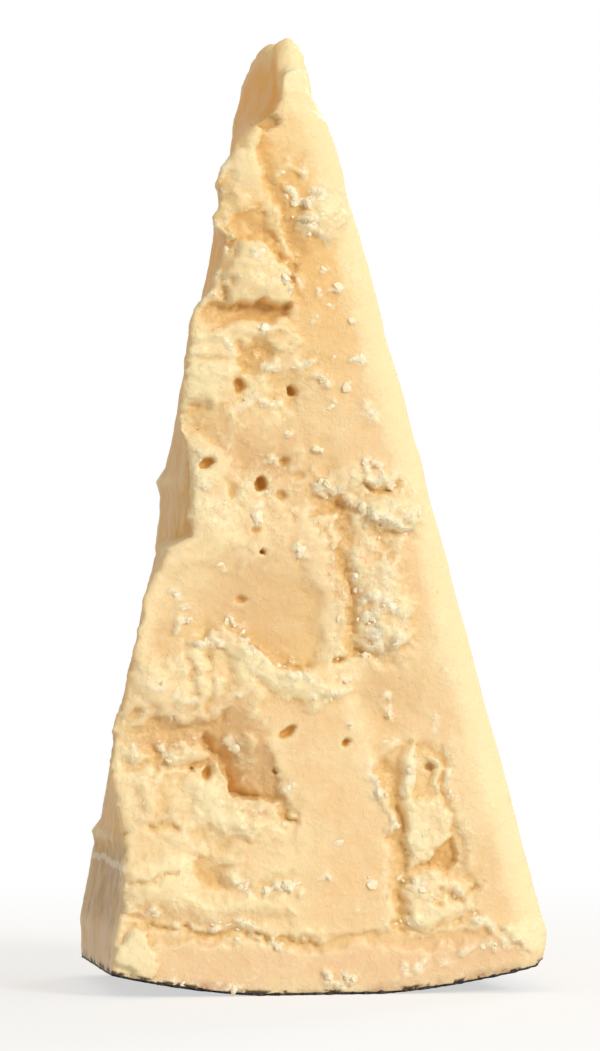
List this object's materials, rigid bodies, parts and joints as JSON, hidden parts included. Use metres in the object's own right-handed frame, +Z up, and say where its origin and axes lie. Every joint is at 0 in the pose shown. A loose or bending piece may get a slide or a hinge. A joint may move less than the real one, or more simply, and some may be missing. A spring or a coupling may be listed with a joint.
{
  "type": "pecorino romano cheese chunk",
  "caption": "Tall wedge of hard pale cheese cut from a wheel, standing upright on its thin dark rind, with a craggy broken face and smooth cut sides.",
  "frame": {"origin": "centre of the flat spot on the rind that the chunk stands on", "axes": "+Z up from the rind to the tip, -Y out of the craggy front face, +X to the right seen from the front"},
  "size_m": [0.0708, 0.0523, 0.1521],
  "materials": {
    "cheese": "waxy, pale straw paste, slightly translucent"
  },
  "bodies": {
    "root": {"pecorino_wedge": "cheese"}
  },
  "joints": []
}
